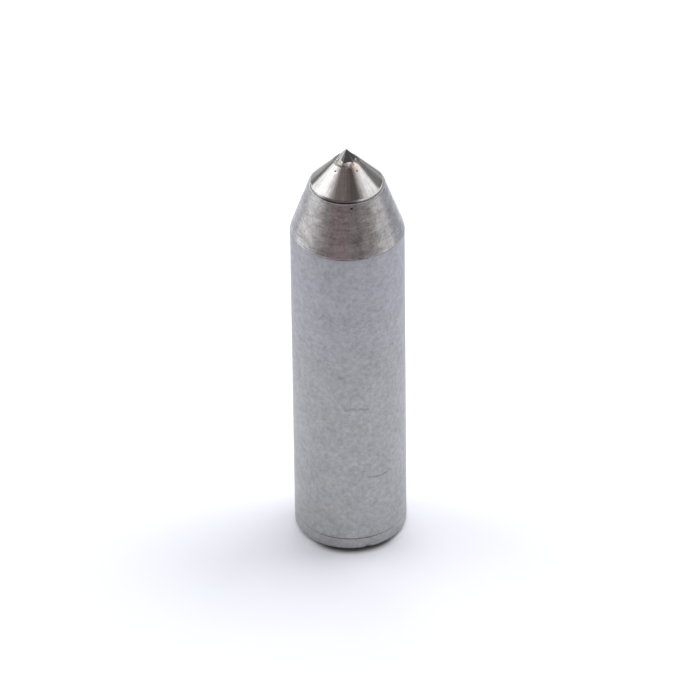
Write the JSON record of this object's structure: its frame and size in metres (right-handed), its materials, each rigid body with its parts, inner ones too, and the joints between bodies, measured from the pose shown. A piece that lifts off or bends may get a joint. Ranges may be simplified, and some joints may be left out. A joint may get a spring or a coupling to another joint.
{
  "type": "live center",
  "caption": "Straight-shank live center: a hard-tipped steel point that turns on ball bearings inside a closed cylindrical body, to hold up the free end of work in a lathe.",
  "frame": {"origin": "middle of the flat rear face of the shank, on the axis", "axes": "+Z along the shared axis of shank and point, from the rear face to the point; X and Y are free, because the outside is round"},
  "size_m": [0.0126, 0.0126, 0.0511],
  "materials": {
    "blasted_steel": "matte",
    "turned_steel": "satin",
    "polished_steel": "polished",
    "hard_stone": "gloss",
    "braze": "satin",
    "bearing_steel": "polished",
    "spring_steel": "satin",
    "cage_brass": "satin",
    "black_rubber": "matte"
  },
  "bodies": {
    "housing": {"shank_body": "blasted_steel", "nose_cap": "turned_steel", "nose_seal": "black_rubber", "rear_plug": "blasted_steel", "plug_o_ring": "black_rubber", "disc_spring_1": "spring_steel", "disc_spring_2": "spring_steel", "disc_spring_3": "spring_steel", "disc_spring_4": "spring_steel", "front_outer_ring": "bearing_steel", "front_shield_upper": "spring_steel", "front_shield_lower": "spring_steel", "thrust_housing_washer": "bearing_steel", "rear_outer_ring": "bearing_steel", "rear_shield_upper": "spring_steel", "rear_shield_lower": "spring_steel"},
    "spindle": {"spindle": "polished_steel", "tip_insert": "hard_stone", "braze": "braze", "bearing_spacer": "bearing_steel", "lock_washer": "spring_steel", "lock_nut": "spring_steel", "front_inner_ring": "bearing_steel", "thrust_shaft_washer": "bearing_steel", "rear_inner_ring": "bearing_steel"},
    "front_cage": {"front_cage": "cage_brass", "front_ball_1": "bearing_steel", "front_ball_2": "bearing_steel", "front_ball_3": "bearing_steel", "front_ball_4": "bearing_steel", "front_ball_5": "bearing_steel", "front_ball_6": "bearing_steel", "front_ball_7": "bearing_steel", "front_ball_8": "bearing_steel"},
    "thrust_cage": {"thrust_cage": "cage_brass", "thrust_ball_1": "bearing_steel", "thrust_ball_2": "bearing_steel", "thrust_ball_3": "bearing_steel", "thrust_ball_4": "bearing_steel", "thrust_ball_5": "bearing_steel", "thrust_ball_6": "bearing_steel", "thrust_ball_7": "bearing_steel", "thrust_ball_8": "bearing_steel"},
    "rear_cage": {"rear_cage": "cage_brass", "rear_ball_1": "bearing_steel", "rear_ball_2": "bearing_steel", "rear_ball_3": "bearing_steel", "rear_ball_4": "bearing_steel", "rear_ball_5": "bearing_steel", "rear_ball_6": "bearing_steel", "rear_ball_7": "bearing_steel"}
  },
  "joints": [
    {"name": "spindle_spin", "type": "hinge", "parent": "housing", "child": "spindle", "pos_m": [0, 0, 0.0344], "axis": [0, 0, 1], "continuous": true},
    {"name": "front_cage_spin", "type": "hinge", "parent": "housing", "child": "front_cage", "pos_m": [0, 0, 0.0344], "axis": [0, 0, 1], "continuous": true},
    {"name": "thrust_cage_spin", "type": "hinge", "parent": "housing", "child": "thrust_cage", "pos_m": [0, 0, 0.0284], "axis": [0, 0, 1], "continuous": true},
    {"name": "rear_cage_spin", "type": "hinge", "parent": "housing", "child": "rear_cage", "pos_m": [0, 0, 0.0136], "axis": [0, 0, 1], "continuous": true}
  ],
  "couplings": [
    {"joint": "front_cage_spin", "follows": "spindle_spin", "ratio": 0.38657},
    {"joint": "thrust_cage_spin", "follows": "spindle_spin", "ratio": 0.5},
    {"joint": "rear_cage_spin", "follows": "spindle_spin", "ratio": 0.35564}
  ]
}
